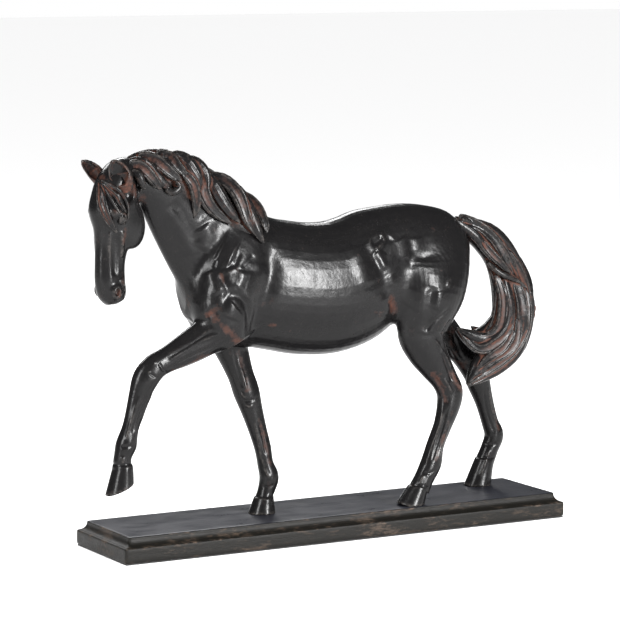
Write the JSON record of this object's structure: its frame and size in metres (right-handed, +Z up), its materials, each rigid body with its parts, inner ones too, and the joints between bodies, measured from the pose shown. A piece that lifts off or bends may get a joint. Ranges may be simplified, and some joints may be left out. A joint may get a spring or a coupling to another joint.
{
  "type": "bronze horse statue",
  "caption": "Striding horse statue cast in sections, with a wavy mane and a full tail, on a long rectangular plinth with a moulded edge and a baize underside.",
  "frame": {"origin": "middle of the plinth's length and width, on the surface that the baize stands on", "axes": "+Z up; the horse faces -X along the plinth; -Y is its near (left) side"},
  "size_m": [0.4461, 0.098, 0.3374],
  "materials": {
    "bronze": "near-black patina, waxed to a semi-gloss",
    "hair_bronze": "near-black patina with red-brown left in the hollows",
    "plinth_bronze": "near-black patina with rubbed brown edges",
    "board": "raw fibreboard",
    "baize": "short black nap",
    "steel": "plain steel"
  },
  "bodies": {
    "root": {"plinth": "plinth_bronze", "base_board": "board", "baize_cover": "baize", "hoof_studs": "steel", "stud_washers": "steel", "stud_nuts": "steel", "body": "bronze", "core_plug": "bronze", "neck": "bronze", "head": "bronze", "near_ear": "bronze", "off_ear": "bronze", "forelock": "hair_bronze", "mane": "hair_bronze", "tail": "hair_bronze", "near_fore_leg": "bronze", "off_fore_leg": "bronze", "near_hind_leg": "bronze", "off_hind_leg": "bronze", "neck_dowel": "steel", "head_dowel": "steel", "tail_dowel": "steel", "near_fore_dowel": "steel", "off_fore_dowel": "steel", "near_hind_dowel": "steel", "off_hind_dowel": "steel"}
  },
  "joints": []
}
